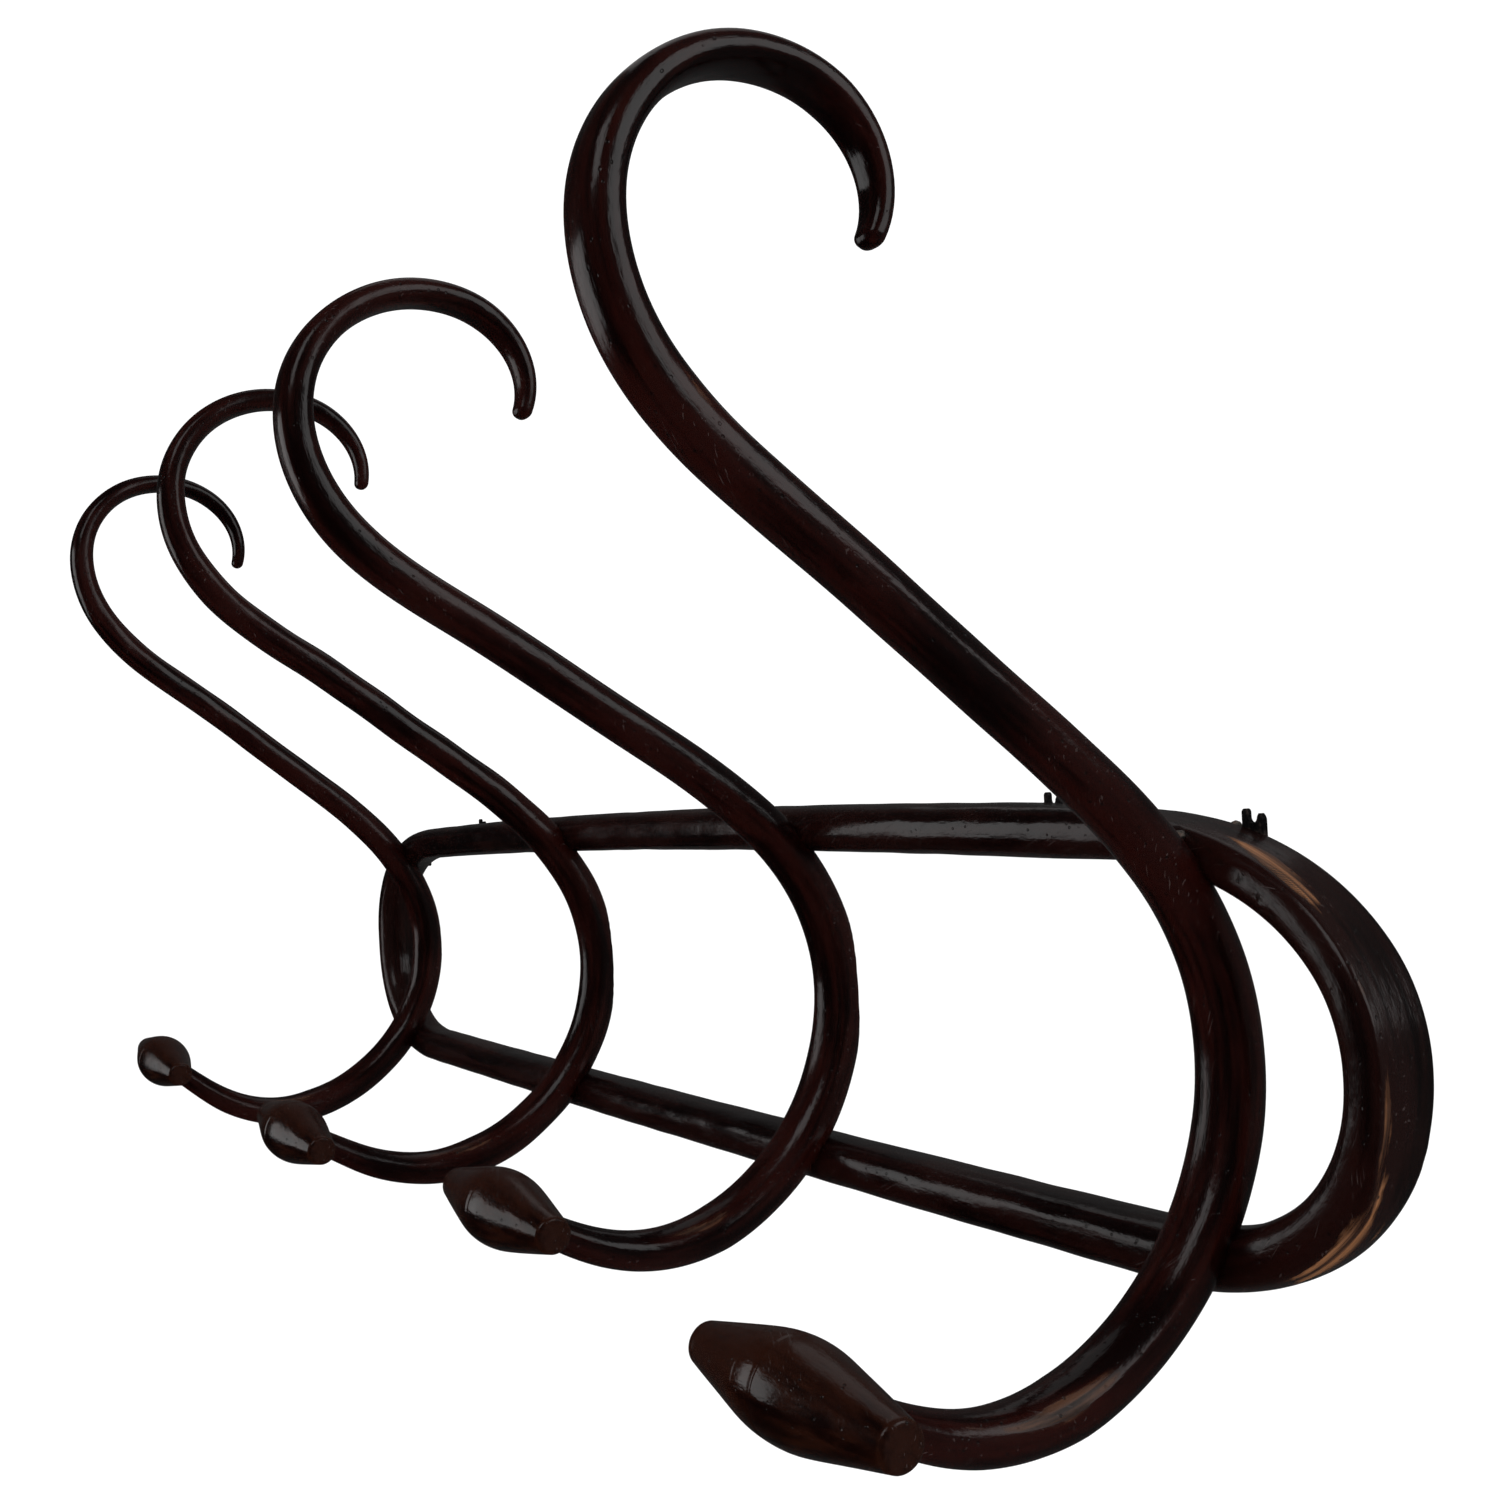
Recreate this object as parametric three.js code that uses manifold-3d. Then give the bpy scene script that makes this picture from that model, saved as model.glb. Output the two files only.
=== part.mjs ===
// Wall coat rack in bent wood: four S-shaped hooks screwed across a long oval ring, a turned
// spindle knob on the lower end of each hook, iron hanger plates and slotted screws behind.
// Millimetres. X runs along the rack, +Y points into the wall, +Z is up. The wall is the plane
// Y = 0 and the origin lies on the flat back of the ring, at the middle of its top rail.
import * as THREE from "three";
import { mergeVertices } from "three/addons/utils/BufferGeometryUtils.js";
import Module from "manifold-3d";

const wasm = await Module();
wasm.setup();

const GAP = 0.3; // clearance wherever two pieces meet
const DEG = Math.PI / 180;

// Ring: one bent rod, its centre line in a plane parallel to the wall.
const RING_HALF_LENGTH = 533;
const RING_HALF_HEIGHT = 80.5;
const RING_END_REACH = { top: 124, bottom: 104 }; // X half-axes of the rounded ends
const RING_END_SQUARENESS = { right: 2.13, left: 2.4 }; // superellipse powers of the ends
const RAIL_ARCH = { top: 0.12, bottom: 0.04 }; // how far each rail bows out, as a share of the half height
const RING_HALF_THICK = 12; // rod section, in the plane of the ring
const RING_HALF_DEPTH = 15.5; // rod section, square to the wall
const RING_SQUARENESS = 2.6; // superellipse power of the rod section
const RING_BACK_PLANED = 0.9; // depth planed off the back so that it sits on the wall
const RING_FLAT = { from: [446, 82], to: [533, -18], outer: 4, inner: 1.8 }; // depths planed off the right end
const RING_FLAT_EASE = 4; // degrees round the ring's middle over which that flat runs out
const RING_SIDES = 16;
const RING_END_STATIONS = 22;
const RING_RAIL_STATIONS = 9;
const RING_LENGTHS = 9; // the rod is parted into simple lengths, at the scarf and behind each hook
const RING_CUT_INWARD = 8; // from a hook's centre towards the middle of the ring
const RING_CUT = [GAP, 80, 320];

// Scarf joint that closes the ring, on the shoulder of its right end.
const SCARF_AT = [474, 48]; // X and Z from the middle of the ring
const SCARF_SLOPE = 38; // from the vertical, in the plane of the ring
const SCARF_TWIST = 12; // out of that plane

// Hooks: bend in degrees per centimetre at equal steps from the top tip to the knob end.
const HOOK_LENGTH = 881;
const HOOK_BEND = [16.1, 8.6, 9.8, 5, -1, 0.5, -2.1, -5.3, -4.7, -4.3, -6.8, 1];
const HOOK_TIP = [-141, 309]; // Y and Z from the middle of the ring
const HOOK_TIP_HEADING = 76; // direction of the rod at the tip, from +Y towards +Z
const SECTION_AT = [0, 0.06, 0.14, 0.28, 0.43, 0.57, 0.71, 0.86, 1]; // shares of the length
const HOOK_HALF_THICK = [4.2, 5.6, 6.8, 9.6, 10.4, 11.4, 11.8, 11.9, 6.6]; // square to the rod, in its bend
const HOOK_HALF_WIDTH = [6.6, 10.5, 13.2, 12, 11.4, 12.6, 14.2, 13.2, 7]; // along X
const HOOK_SQUARENESS = 2.2;
const HOOK_SIDES = 12;
const HOOK_STEPS = 320; // small steps that trace the bend
const STATION_TURN = 11; // most bend between two stations of the rod
const STATION_RUN = 46; // most length between two stations
const TIP_ROUNDING = [0.45, 0.78, 0.95]; // shares of the section in the rounded tip

// Each hook was bent by hand: its own place, and its bend as a factor on the common one at
// seven shares of its length. A knob's axis hangs knobDrop below the middle of its tenon.
const ADJUST_AT = [0, 0.13, 0.27, 0.42, 0.6, 0.8, 1];
const HOOKS = [
  { x: 453.7, y: -1.9, z: -12.6, turn: -14.6, yaw: 1, longer: -24, knobTilt: -0.6, knobDrop: 3,
    adjust: [1.22, 1.02, 1.04, 0.45, 1.07, 1.01, 0.93] },
  { x: 166.8, y: -11.2, z: -9.2, turn: -7.6, yaw: 0.1, longer: -16, knobTilt: -1.5, knobDrop: 0,
    adjust: [1.18, 0.92, 1.19, 0.64, 1.01, 1.03, 1.01] },
  { x: -133.9, y: 6.8, z: 14, turn: 4.3, yaw: -5.1, longer: 10, knobTilt: -3, knobDrop: 2,
    adjust: [0.97, 0.95, 0.99, 1.12, 0.94, 0.99, 0.89] },
  { x: -466.8, y: 4.3, z: 8.8, turn: -2.1, yaw: -0.4, longer: 42, knobTilt: -4, knobDrop: 0.5,
    adjust: [0.87, 1.01, 0.94, 0.98, 0.97, 0.96, 1] },
];
const HOOK_WALL_GAP = 0.3; // the bellies are planed just clear of the wall
const HOOK_REACH = 700; // larger than any hook, for the block that planes it

// Knobs: turned spindles lying along X.
const KNOB_HALF_LENGTH = 61;
const KNOB_RADIUS = 18.5;
const KNOB_END_RADIUS = 8.5;
const KNOB_WAIST_FLAT = 7; // half the length of the rounded middle
const KNOB_RIM = 1.2; // chamfer of the flat ends
const KNOB_LINE = 0.6; // depth of the turned line round the middle
const KNOB_SIDES = 24;
const TENON_RADIUS = 6;
const TENON_PAST_AXIS = 5;
const TENON_ROOT = 7; // length of the tenon inside the rod
const TENON_SIDES = 16;

// Countersunk slotted screws, driven from behind.
const HOOK_SCREW = { head: 4.6, depth: 2.8, shank: 2.3, point: 8, slot: [1, 1.2] };
const SCREW_SUNK = 0.5; // head below the back of the ring
const SCREW_PAST_AXIS = 4; // how far a hook screw reaches past the hook's centre line
const SCREW_SIDES = 12;
const HOLE_MOUTH = 3; // how far a hole's cutter stands out behind the head
const SLOT_TURN = 37; // each slot stands at its own angle

// Hanger plates let into the back of the top rail, beside the end hooks.
const PLATE_X = [464.6, 347, -347, -480];
const PLATE_THICK = 2.2;
const PLATE_HALF_WIDTH = 5.4;
const PLATE_RISE = 4; // above the rail
const PLATE_DROP = 8; // below the centre line of the rail
const PLATE_CORNER = 2;
const PLATE_NOTCH_HALF = 2.4;
const PLATE_NOTCH_DEPTH = 5.6;
const PLATE_WEDGE = 1.4; // height of the lower horn's shoulder above the foot of the notch
const RECESS_TOP = 40;
const PLATE_SCREW = { head: 2.6, depth: 1.6, shank: 1.2, point: 4, slot: [0.6, 0.6] };
const PLATE_SCREW_DROP = 3; // below the centre line of the rail
const PLATE_SCREW_LENGTH = 12;

const WOOD = { color: 0x24110b, roughness: 0.34, metalness: 0 };
const RING_WOOD = { color: 0x20100b, roughness: 0.34, metalness: 0 };
const KNOB_WOOD = { color: 0x2e1810, roughness: 0.36, metalness: 0 };
const IRON = { color: 0x1b1b1d, roughness: 0.6, metalness: 0.9 };
const STEEL = { color: 0x6d6558, roughness: 0.45, metalness: 1 };

// ---------------------------------------------------------------- solids

function volumeOf(position, index) {
  const a = new THREE.Vector3();
  const b = new THREE.Vector3();
  const c = new THREE.Vector3();
  let sum = 0;
  for (let i = 0; i < index.length; i += 3) {
    a.fromArray(position, index[i] * 3);
    b.fromArray(position, index[i + 1] * 3);
    c.fromArray(position, index[i + 2] * 3);
    sum += a.dot(b.cross(c));
  }
  return sum / 6;
}

// Closed skin over rings of points; a loop joins the last ring to the first, else both ends cap.
function skin(rings, loop) {
  const sides = rings[0].length;
  const position = rings.flat().flatMap((p) => [p.x, p.y, p.z]);
  const index = [];
  const last = loop ? rings.length : rings.length - 1;
  for (let i = 0; i < last; i++) {
    const next = (i + 1) % rings.length;
    for (let j = 0; j < sides; j++) {
      const k = (j + 1) % sides;
      const a = i * sides + j;
      const b = next * sides + j;
      const c = next * sides + k;
      const d = i * sides + k;
      index.push(a, b, c, a, c, d);
    }
  }
  if (!loop) {
    for (const [ring, flip] of [[0, false], [rings.length - 1, true]]) {
      const centre = new THREE.Vector3();
      rings[ring].forEach((p) => centre.add(p));
      centre.divideScalar(sides);
      const hub = position.length / 3;
      position.push(centre.x, centre.y, centre.z);
      for (let j = 0; j < sides; j++) {
        const a = ring * sides + j;
        const b = ring * sides + ((j + 1) % sides);
        index.push(...(flip ? [hub, b, a] : [hub, a, b]));
      }
    }
  }
  if (volumeOf(position, index) < 0) index.reverse();
  const geometry = new THREE.BufferGeometry();
  geometry.setAttribute("position", new THREE.Float32BufferAttribute(position, 3));
  geometry.setIndex(index);
  return geometry;
}

function solid(geometry) {
  geometry.deleteAttribute("normal");
  geometry.deleteAttribute("uv");
  const merged = mergeVertices(geometry, 1e-4);
  return new wasm.Manifold(new wasm.Mesh({
    numProp: 3,
    vertProperties: new Float32Array(merged.attributes.position.array),
    triVerts: new Uint32Array(merged.index.array),
  }));
}

function mesh(name, body, look) {
  const data = body.getMesh();
  const geometry = new THREE.BufferGeometry();
  geometry.setAttribute("position", new THREE.BufferAttribute(data.vertProperties, 3));
  geometry.setIndex(new THREE.BufferAttribute(data.triVerts, 1));
  geometry.computeVertexNormals();
  const result = new THREE.Mesh(geometry, new THREE.MeshStandardMaterial(look));
  result.name = name;
  return result;
}

// Turned solid: profile of [radius, height] pairs about +Y, then turned to point along `axis`.
function turned(profile, sides, axis, at) {
  const points = profile.map(([r, h]) => new THREE.Vector2(r, h));
  const geometry = new THREE.LatheGeometry(points, sides);
  const up = new THREE.Vector3(0, 1, 0);
  geometry.applyQuaternion(new THREE.Quaternion().setFromUnitVectors(up, axis));
  geometry.translate(at.x, at.y, at.z);
  const merged = mergeVertices(plain(geometry), 1e-4);
  const index = Array.from(merged.index.array);
  if (volumeOf(merged.attributes.position.array, index) < 0) merged.setIndex(index.reverse());
  return solid(merged);
}

function plain(geometry) {
  geometry.deleteAttribute("normal");
  geometry.deleteAttribute("uv");
  return geometry;
}

function box(size, at, turn = [0, 0, 0]) {
  const geometry = new THREE.BoxGeometry(...size);
  geometry.applyMatrix4(new THREE.Matrix4().makeRotationFromEuler(new THREE.Euler(...turn)));
  geometry.translate(at.x, at.y, at.z);
  return solid(geometry);
}

// One point of a superellipse with half-axes a and b.
function superellipse(angle, a, b, power) {
  const c = Math.cos(angle);
  const s = Math.sin(angle);
  const grow = (v) => Math.sign(v) * Math.abs(v) ** (2 / power);
  return [a * grow(c), b * grow(s)];
}

// Value at share f of a list of equally spaced values, or of values at the shares `at`.
function blend(values, f, at = values.map((_, i) => i / (values.length - 1))) {
  const share = THREE.MathUtils.clamp(f, 0, 1);
  let i = 1;
  while (i < at.length - 1 && share > at[i]) i++;
  return THREE.MathUtils.mapLinear(share, at[i - 1], at[i], values[i - 1], values[i]);
}

// ---------------------------------------------------------------- ring

// Height of a rail's centre line over the ring's middle; side is 1 for the top, -1 for the bottom.
function railLine(x, side) {
  const share = side > 0 ? RAIL_ARCH.top : RAIL_ARCH.bottom;
  return side * RING_HALF_HEIGHT * (1 + share * (1 - (x / RING_HALF_LENGTH) ** 2));
}

const RAIL_TOP = railLine(0, 1);
const RING_Y = RING_BACK_PLANED - RING_HALF_DEPTH;

// Centre line of the oval from the left of the bottom rail, anticlockwise, as [x, z] pairs.
function ringLine() {
  const line = [];
  const add = (x, z) => line.push([x, (Math.abs(z) / RING_HALF_HEIGHT) * railLine(x, Math.sign(z))]);
  for (const side of [1, -1]) {
    const rail = RING_HALF_LENGTH - (side > 0 ? RING_END_REACH.bottom : RING_END_REACH.top);
    for (let i = 0; i < RING_RAIL_STATIONS; i++) {
      const x = THREE.MathUtils.lerp(-rail, rail, i / RING_RAIL_STATIONS);
      add(side * x, -side * RING_HALF_HEIGHT);
    }
    for (let i = 0; i < RING_END_STATIONS; i++) {
      const angle = THREE.MathUtils.lerp(-90, 90, i / RING_END_STATIONS) * DEG;
      const reach = side * angle > 0 ? RING_END_REACH.top : RING_END_REACH.bottom;
      const power = side > 0 ? RING_END_SQUARENESS.right : RING_END_SQUARENESS.left;
      const [x, z] = superellipse(angle, reach, RING_HALF_HEIGHT, power);
      add(side * (RING_HALF_LENGTH - reach + x), side * z);
    }
  }
  return line;
}

// Height of the top rail at x, measured `out` from its centre line.
function ringHeight(x, out = 0) {
  const line = ringLine();
  const count = line.length;
  const i = line.findIndex(([ax, az], k) => {
    const [bx] = line[(k + 1) % count];
    return az > 0 && ax >= x && bx < x;
  });
  const [ax, az] = line[i];
  const [bx, bz] = line[(i + 1) % count];
  const slope = Math.hypot(bx - ax, bz - az) / Math.abs(bx - ax);
  return THREE.MathUtils.mapLinear(x, ax, bx, az, bz) + out * slope - RAIL_TOP;
}

// Share of the full planing at a place on the ring's centre line.
function planedShare(x, z) {
  const turn = Math.atan2(z, x) / DEG;
  const [high, low] = [RING_FLAT.from, RING_FLAT.to].map((at) => Math.atan2(at[1], at[0]) / DEG);
  const rise = THREE.MathUtils.smoothstep(turn, low - RING_FLAT_EASE, low);
  return rise * (1 - THREE.MathUtils.smoothstep(turn, high, high + RING_FLAT_EASE));
}

// Solid swept round the oval, its section grown by `grow`.
function ringRod(grow) {
  const line = ringLine();
  const count = line.length;
  const rings = line.map(([x, z], i) => {
    const [ax, az] = line[(i + count - 1) % count];
    const [bx, bz] = line[(i + 1) % count];
    const out = new THREE.Vector2(bz - az, ax - bx).normalize();
    const planed = planedShare(x, z);
    const outer = RING_HALF_THICK + grow - RING_FLAT.outer * planed;
    const inner = RING_HALF_THICK + grow - RING_FLAT.inner * planed;
    return Array.from({ length: RING_SIDES }, (_, j) => {
      const angle = (j / RING_SIDES) * 2 * Math.PI;
      const half = [RING_HALF_THICK + grow, RING_HALF_DEPTH + grow];
      const [across, deep] = superellipse(angle, ...half, RING_SQUARENESS);
      const y = Math.min(RING_Y + deep, grow);
      const reach = THREE.MathUtils.clamp(across, -inner, outer);
      return new THREE.Vector3(x + out.x * reach, y, z + out.y * reach - RAIL_TOP);
    });
  });
  return solid(skin(rings, true));
}

function scarfGap() {
  const at = new THREE.Vector3(SCARF_AT[0], RING_Y, SCARF_AT[1] - RAIL_TOP);
  return box([GAP, 60, 90], at, [0, SCARF_SLOPE * DEG, SCARF_TWIST * DEG]);
}

// Turn about the ring's middle, anticlockwise from the scarf, of a body's centre.
function turnFromScarf(body) {
  const { min, max } = body.boundingBox();
  const angle = Math.atan2((min[2] + max[2]) / 2 + RAIL_TOP, (min[0] + max[0]) / 2);
  const start = Math.atan2(SCARF_AT[1], SCARF_AT[0]);
  return THREE.MathUtils.euclideanModulo(angle - start, 2 * Math.PI);
}

// The ring's lengths in their order round the oval; every square cut hides behind a hook.
function ringLengths(ring) {
  let parted = ring.subtract(scarfGap());
  for (const { x } of HOOKS) {
    const at = new THREE.Vector3(x - Math.sign(x) * RING_CUT_INWARD, RING_Y, -RAIL_TOP);
    parted = parted.subtract(box(RING_CUT, at));
  }
  const lengths = parted.decompose();
  if (lengths.length !== RING_LENGTHS) throw new Error(`the ring fell into ${lengths.length} lengths`);
  return lengths.sort((a, b) => turnFromScarf(a) - turnFromScarf(b));
}

// ---------------------------------------------------------------- hooks

// Stations of a hook's rod: position, heading and section, from the tip to the knob.
function hookStations(hook) {
  const length = HOOK_LENGTH + hook.longer;
  const step = length / HOOK_STEPS;
  let heading = (HOOK_TIP_HEADING + hook.turn) * DEG;
  let y = HOOK_TIP[0] + hook.y + RING_Y;
  let z = HOOK_TIP[1] + hook.z - RAIL_TOP;
  const stations = [];
  let due = 1;
  for (let i = 0; i <= HOOK_STEPS; i++) {
    const f = i / HOOK_STEPS;
    const bend = blend(HOOK_BEND, f) * blend(hook.adjust, f, ADJUST_AT) * DEG / 10;
    if (due >= 1 || i === HOOK_STEPS) {
      const thick = blend(HOOK_HALF_THICK, f, SECTION_AT);
      const wide = blend(HOOK_HALF_WIDTH, f, SECTION_AT);
      stations.push({ y, z, heading, thick, wide });
      due = 0;
    }
    const middle = heading + (bend * step) / 2;
    y += Math.cos(middle) * step;
    z += Math.sin(middle) * step;
    heading += bend * step;
    due += Math.abs(bend * step) / (STATION_TURN * DEG) + step / STATION_RUN;
  }
  return stations;
}

// Section of the rod at a station, moved `ahead` along the rod and scaled by `share`.
function hookSection(hook, s, share = 1, ahead = 0) {
  return Array.from({ length: HOOK_SIDES }, (_, j) => {
    const angle = ((j + 0.5) / HOOK_SIDES) * 2 * Math.PI;
    const [wide, thick] = superellipse(angle, s.wide * share, s.thick * share, HOOK_SQUARENESS);
    const y = s.y + Math.cos(s.heading) * ahead - Math.sin(s.heading) * thick;
    const z = s.z + Math.sin(s.heading) * ahead + Math.cos(s.heading) * thick;
    return placed(hook, wide, y, z);
  });
}

// A point of a hook's own plane, `across` it, with the plane turned by the hook's yaw.
function placed(hook, across, y, z) {
  const yaw = hook.yaw * DEG;
  const out = y - RING_Y;
  const x = hook.x + across * Math.cos(yaw) - out * Math.sin(yaw);
  return new THREE.Vector3(x, RING_Y + across * Math.sin(yaw) + out * Math.cos(yaw), z);
}

function hookRod(hook, stations) {
  const first = stations[0];
  const nose = TIP_ROUNDING.map((share) => {
    const ahead = -first.thick * Math.sqrt(1 - share * share);
    return hookSection(hook, first, share, ahead);
  });
  return solid(skin([...nose, ...stations.map((s) => hookSection(hook, s))], false));
}

// The space behind the wall's face, as wide and tall as a hook.
function wallBlock(hook) {
  const at = new THREE.Vector3(hook.x, HOOK_REACH / 2 - HOOK_WALL_GAP, 0);
  return box([HOOK_REACH, HOOK_REACH, HOOK_REACH], at);
}

// Where the hook crosses the height of a rail: the point of its centre line there.
function crossing(hook, stations, railZ) {
  for (let i = 1; i < stations.length; i++) {
    const a = stations[i - 1];
    const b = stations[i];
    if ((a.z - railZ) * (b.z - railZ) > 0) continue;
    const f = (railZ - a.z) / (b.z - a.z);
    return placed(hook, 0, THREE.MathUtils.lerp(a.y, b.y, f), railZ);
  }
  throw new Error("hook misses a rail");
}

// ---------------------------------------------------------------- knobs, tenons

function knobProfile(grow) {
  const end = KNOB_HALF_LENGTH + grow;
  const side = (sign) => [
    [KNOB_WAIST_FLAT * 0.5, KNOB_RADIUS - 0.25],
    [KNOB_WAIST_FLAT, KNOB_RADIUS - 1],
    [KNOB_WAIST_FLAT * 2, KNOB_RADIUS - 2.9],
    [KNOB_HALF_LENGTH - KNOB_RIM, KNOB_END_RADIUS + 0.4],
  ].map(([h, r]) => [r + grow, sign * h]);
  const rim = [KNOB_END_RADIUS - KNOB_RIM + 0.4 + grow, end];
  const groove = [
    [KNOB_RADIUS + grow, -KNOB_LINE],
    [KNOB_RADIUS - KNOB_LINE + grow, 0],
    [KNOB_RADIUS + grow, KNOB_LINE],
  ];
  const low = side(-1).reverse();
  return [[0, -end], [rim[0], -end], ...low, ...groove, ...side(1), rim, [0, end]];
}

// Frame of a hook's lower end: the rod's end and direction, the knob's axis and centre.
function hookEnd(hook, stations) {
  const s = stations.at(-1);
  const at = placed(hook, 0, s.y, s.z);
  const before = placed(hook, 0, s.y - Math.cos(s.heading), s.z - Math.sin(s.heading));
  const tilt = hook.knobTilt * DEG;
  const axis = new THREE.Vector3(Math.cos(tilt), 0, Math.sin(tilt));
  const knob = at.clone().setZ(at.z - hook.knobDrop);
  return { at, along: at.clone().sub(before).normalize(), axis, knob };
}

function knobBlank(end, grow) {
  return turned(knobProfile(grow), KNOB_SIDES, end.axis, end.knob);
}

// Round peg along the rod's end, from inside the rod to past the knob's axis.
function peg(end, radius, past) {
  const length = KNOB_RADIUS + TENON_ROOT + past;
  const profile = [[0, -length + past], [radius, -length + past], [radius, past], [0, past]];
  return turned(profile, TENON_SIDES, end.along, end.at);
}

function knobBody(end) {
  return knobBlank(end, 0).subtract(peg(end, TENON_RADIUS + GAP, TENON_PAST_AXIS + GAP));
}

// ---------------------------------------------------------------- screws

// Countersunk screw along `axis`, its head's flat at `at`; grown by `grow` it is its own hole.
function screwBody(at, axis, size, grow) {
  const rise = grow > 0 ? HOLE_MOUTH : 0;
  const head = size.head + grow;
  const shank = size.shank + grow;
  const end = size.length + grow;
  const profile = [
    [0, -end],
    [shank * 0.3, -end],
    [shank, size.point - end],
    [shank, -size.depth],
    [head, 0],
    ...(rise ? [[head, rise]] : []),
    [0, rise],
  ];
  return turned(profile, SCREW_SIDES, axis, at);
}

function slotted(body, at, size) {
  const depth = size.slot[1] * 2;
  return body.subtract(box([size.head * 3, depth, size.slot[0]], at, [0, size.slotTurn * DEG, 0]));
}

const BACKWARD = new THREE.Vector3(0, 1, 0);

function screwSize(look, length, slotTurn) {
  return { ...look, length, slotTurn };
}

// ---------------------------------------------------------------- hanger plates

// Outline of a plate in X and Z about the rail's centre line, its horn `top` above it.
function plateShape(top) {
  const w = PLATE_HALF_WIDTH;
  const n = PLATE_NOTCH_HALF;
  const base = top - PLATE_NOTCH_DEPTH;
  const shape = new THREE.Shape();
  shape.moveTo(-w, -PLATE_DROP + PLATE_CORNER);
  shape.absarc(-w + PLATE_CORNER, -PLATE_DROP + PLATE_CORNER, PLATE_CORNER, Math.PI, 1.5 * Math.PI);
  shape.absarc(w - PLATE_CORNER, -PLATE_DROP + PLATE_CORNER, PLATE_CORNER, -0.5 * Math.PI, 0);
  shape.lineTo(w, base + PLATE_WEDGE);
  shape.quadraticCurveTo(w - 1, top - 1.5, n + 0.8, top - 2);
  shape.lineTo(n, base + n);
  shape.absarc(0, base + n, n, 0, -Math.PI, true);
  const horn = (w - n) / 2;
  shape.lineTo(-n, top - horn);
  shape.absarc(-n - horn, top - horn, horn, 0, Math.PI);
  shape.closePath();
  return shape;
}

function plateBody(x, z, top, hole) {
  const settings = { depth: PLATE_THICK, bevelEnabled: false, curveSegments: 5 };
  const geometry = new THREE.ExtrudeGeometry(plateShape(top), settings);
  geometry.rotateX(Math.PI / 2);
  geometry.translate(x, 0, z);
  return solid(geometry).subtract(hole);
}

// Recess in the back of the ring that lets the plate in flush.
function plateRecess(x, z) {
  const wide = 2 * (PLATE_HALF_WIDTH + GAP);
  const low = -PLATE_DROP - GAP;
  const at = new THREE.Vector3(x, 0, z + (low + RECESS_TOP) / 2);
  return box([wide, 2 * (PLATE_THICK + GAP), RECESS_TOP - low], at);
}

// ---------------------------------------------------------------- the rack

function build() {
  const group = new THREE.Group();
  group.name = "bentwood_coat_rack";
  const seat = ringRod(GAP);
  let ring = ringRod(0);
  const pieces = [];

  const addScrew = (name, at, size) => {
    const body = slotted(screwBody(at, BACKWARD, size, 0), at, size);
    pieces.push(mesh(name, body, STEEL));
    return screwBody(at, BACKWARD, size, GAP);
  };

  HOOKS.forEach((hook, i) => {
    const stations = hookStations(hook);
    const end = hookEnd(hook, stations);
    let rod = hookRod(hook, stations).subtract(seat).subtract(wallBlock(hook));
    rod = rod.subtract(knobBlank(end, GAP)).add(peg(end, TENON_RADIUS, TENON_PAST_AXIS));
    for (const [place, side] of [["upper", 1], ["lower", -1]]) {
      const point = crossing(hook, stations, railLine(hook.x, side) - RAIL_TOP);
      const at = new THREE.Vector3(point.x, -SCREW_SUNK, point.z);
      const length = -SCREW_SUNK - point.y + SCREW_PAST_AXIS;
      const size = screwSize(HOOK_SCREW, length, SLOT_TURN * (2 * i + side));
      const hole = addScrew(`hook_screw_${i + 1}_${place}`, at, size);
      ring = ring.subtract(hole);
      rod = rod.subtract(hole);
    }
    pieces.push(mesh(`hook_${i + 1}`, rod, WOOD));
    pieces.push(mesh(`knob_${i + 1}`, knobBody(end), KNOB_WOOD));
  });

  PLATE_X.forEach((x, i) => {
    const z = ringHeight(x);
    const top = ringHeight(x, RING_HALF_THICK) - z + PLATE_RISE;
    const at = new THREE.Vector3(x, 0, z - PLATE_SCREW_DROP);
    const size = screwSize(PLATE_SCREW, PLATE_SCREW_LENGTH, SLOT_TURN * i);
    const hole = addScrew(`plate_screw_${i + 1}`, at, size);
    pieces.push(mesh(`hanger_plate_${i + 1}`, plateBody(x, z, top, hole), IRON));
    ring = ring.subtract(plateRecess(x, z)).subtract(hole);
  });

  const lengths = ringLengths(ring).map((body, i) => mesh(`ring_${i + 1}`, body, RING_WOOD));
  group.add(...lengths, ...pieces);
  return group;
}

export default build();
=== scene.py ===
"""Looks of a wall coat rack in bent wood: four S-shaped hooks, each with a turned knob, on a long oval ring.

Metres, in the frame of the CAD part: X along the rack, +Y into the wall, +Z up.
"""

import math

import bpy
import numpy as np
from mathutils import Matrix, Vector


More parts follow.
